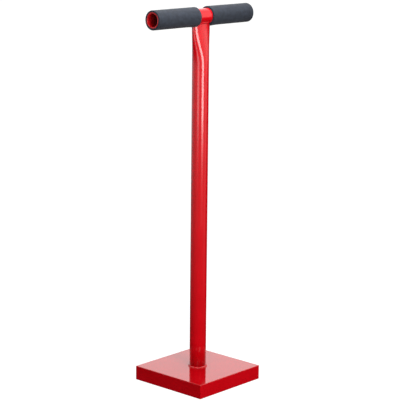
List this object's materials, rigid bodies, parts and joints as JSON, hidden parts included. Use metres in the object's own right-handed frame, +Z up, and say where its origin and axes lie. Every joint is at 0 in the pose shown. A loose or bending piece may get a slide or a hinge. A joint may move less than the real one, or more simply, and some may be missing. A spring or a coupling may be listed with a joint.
{
  "type": "hand tamper",
  "caption": "Hand tamper for packing soil or gravel: square steel foot, upright tube shaft and T-handle with foam grips.",
  "frame": {"origin": "centre of the foot plate's underside, on the ground", "axes": "+Z up the shaft, X along the handle, Y across it"},
  "size_m": [0.31, 0.2032, 0.8648],
  "materials": {
    "red_powder_coat": "gloss",
    "grey_foam": "matte closed-cell foam"
  },
  "bodies": {
    "root": {"base_plate": "red_powder_coat", "shaft_tube": "red_powder_coat", "handle_tube": "red_powder_coat", "left_grip": "grey_foam", "right_grip": "grey_foam", "base_weld": "red_powder_coat", "front_handle_weld": "red_powder_coat", "rear_handle_weld": "red_powder_coat"}
  },
  "joints": []
}
